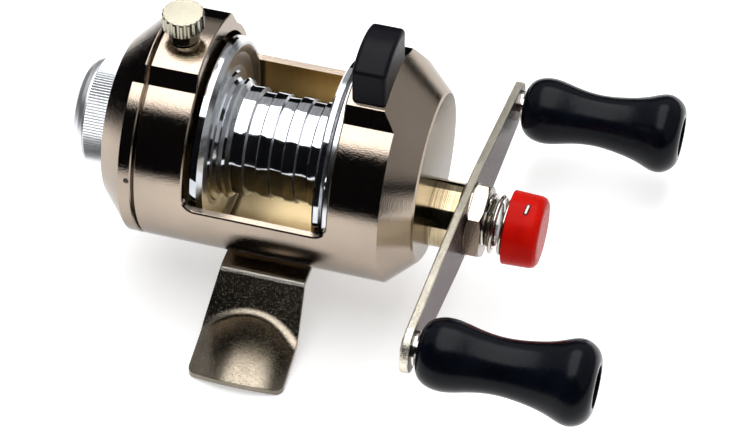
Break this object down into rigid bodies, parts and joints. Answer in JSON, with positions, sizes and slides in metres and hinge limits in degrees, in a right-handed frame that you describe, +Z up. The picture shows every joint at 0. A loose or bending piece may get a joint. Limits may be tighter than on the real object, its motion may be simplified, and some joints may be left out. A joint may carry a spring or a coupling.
{
  "type": "ice fishing reel",
  "caption": "Small geared ice fishing reel: round metal body with an open spool window, sheet foot, two-grip crank, release button, tension knob and slide switch.",
  "frame": {"origin": "middle of the foot, level with the lowest edges of its two tips, where a rod's seat touches", "axes": "+X along the spool axis towards the crank, +Y to the back, +Z up from the rod to the spool"},
  "size_m": [0.0822, 0.074, 0.0491],
  "materials": {
    "body_silver": "polished, slightly warm",
    "plain_aluminium": "machined",
    "steel": "ground",
    "dark_steel": "dark",
    "bronze": "machined",
    "collar_silver": "polished",
    "foot_nickel": "satin nickel",
    "polished_aluminium": "polished",
    "knob_chrome": "polished, knurled rim",
    "fibre": "pressed fibre",
    "screw_nickel": "bright nickel",
    "switch_black": "satin",
    "arm_silver": "polished face",
    "nut_nickel": "nickel",
    "spring_steel": "drawn wire",
    "button_red": "gloss red",
    "grip_black": "satin"
  },
  "bodies": {
    "body": {"body_shell": "body_silver", "side_plate": "plain_aluminium", "side_plate_posts": "plain_aluminium", "side_plate_screws": "steel", "plate_bush": "bronze", "wall_bush": "bronze", "drive_bush": "collar_silver", "pawl_pin": "steel", "end_cap": "body_silver", "cap_dowel": "dark_steel", "bearing_outer": "steel", "bearing_balls": "steel", "foot_saddle": "foot_nickel", "foot_plate": "foot_nickel", "foot_screws": "steel"},
    "spool": {"spool": "polished_aluminium", "spool_shaft": "steel", "spool_pinion": "bronze", "ratchet_wheel": "steel", "bearing_inner": "steel"},
    "tension": {"tension_knob": "knob_chrome", "tension_pad": "fibre"},
    "lock_screw": {"thumbscrew": "screw_nickel"},
    "switch": {"switch_block": "switch_black", "switch_stem": "steel"},
    "pawl": {"pawl_lever": "steel"},
    "crank": {"drive_shaft": "steel", "crank_arm": "arm_silver", "lock_washer": "steel", "drive_nut": "nut_nickel", "knob_spindles": "steel", "return_spring": "spring_steel"},
    "button": {"release_button": "button_red", "push_rod": "steel", "drive_gear": "bronze", "gear_clip": "steel"},
    "front_grip": {"crank_knob_front": "grip_black"},
    "rear_grip": {"crank_knob_rear": "grip_black"}
  },
  "joints": [
    {"name": "crank_spin", "type": "hinge", "parent": "body", "child": "crank", "pos_m": [0, 0, 0.0184], "axis": [1, 0, 0], "continuous": true},
    {"name": "spool_spin", "type": "hinge", "parent": "body", "child": "spool", "pos_m": [0, 0, 0.0254], "axis": [1, 0, 0], "continuous": true},
    {"name": "button_press", "type": "slide", "parent": "crank", "child": "button", "axis": [-1, 0, 0], "range_m": [0, 0.0023], "stiffness_N_per_m": 600, "springref_m": -0.001, "deforming": ["return_spring"]},
    {"name": "front_grip_spin", "type": "hinge", "parent": "crank", "child": "front_grip", "pos_m": [0, -0.03109, 0.02484], "axis": [1, 0, 0], "continuous": true},
    {"name": "rear_grip_spin", "type": "hinge", "parent": "crank", "child": "rear_grip", "pos_m": [0, 0.03109, 0.01196], "axis": [1, 0, 0], "continuous": true},
    {"name": "tension_turn", "type": "hinge", "parent": "body", "child": "tension", "pos_m": [0, 0, 0.0254], "axis": [1, 0, 0], "range_deg": [-180, 180]},
    {"name": "lock_screw_turn", "type": "hinge", "parent": "body", "child": "lock_screw", "pos_m": [-0.0134, 0, 0.045], "axis": [0, 0, 1], "range_deg": [-180, 180]},
    {"name": "switch_slide", "type": "hinge", "parent": "body", "child": "switch", "pos_m": [0, 0, 0.0254], "axis": [1, 0, 0], "range_deg": [-6, 0]},
    {"name": "pawl_swing", "type": "hinge", "parent": "body", "child": "pawl", "pos_m": [0, 0, 0.0334], "axis": [1, 0, 0], "range_deg": [-16.8, 0]}
  ],
  "couplings": [
    {"joint": "spool_spin", "follows": "crank_spin", "ratio": -1.8},
    {"joint": "pawl_swing", "follows": "switch_slide", "ratio": 2.8}
  ]
}
